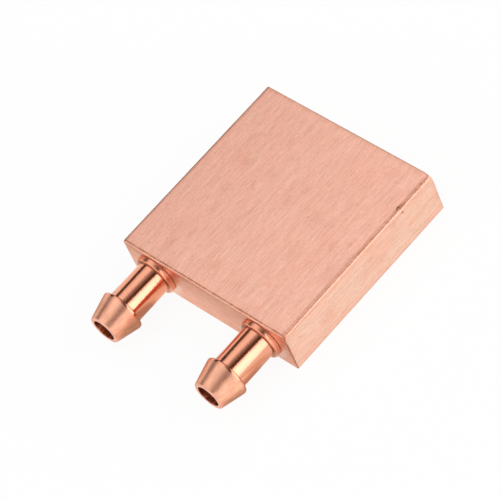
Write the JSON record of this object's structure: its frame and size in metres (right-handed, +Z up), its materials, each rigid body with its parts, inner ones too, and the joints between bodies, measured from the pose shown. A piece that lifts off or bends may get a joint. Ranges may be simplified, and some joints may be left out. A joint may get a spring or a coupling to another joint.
{
  "type": "liquid cooling cold plate",
  "caption": "Square brazed copper water block with an internal finned coolant channel and two barbed hose nozzles on one side.",
  "frame": {"origin": "centre of the thermal face, which is the underside that the block rests on", "axes": "+Z up from the thermal face to the top face, -Y the way the two nozzles point, +X from the inlet to the outlet"},
  "size_m": [0.05, 0.0681, 0.012],
  "materials": {
    "ground_copper": "fine ground copper with a satin sheen",
    "turned_copper": "polished turned copper",
    "braze_filler": "copper brazing filler, ground flush where it shows"
  },
  "bodies": {
    "root": {"thermal_plate": "ground_copper", "plate_braze_foil": "braze_filler", "housing": "ground_copper", "inlet_nozzle": "turned_copper", "inlet_braze_ring": "braze_filler", "outlet_nozzle": "turned_copper", "outlet_braze_ring": "braze_filler"}
  },
  "joints": []
}
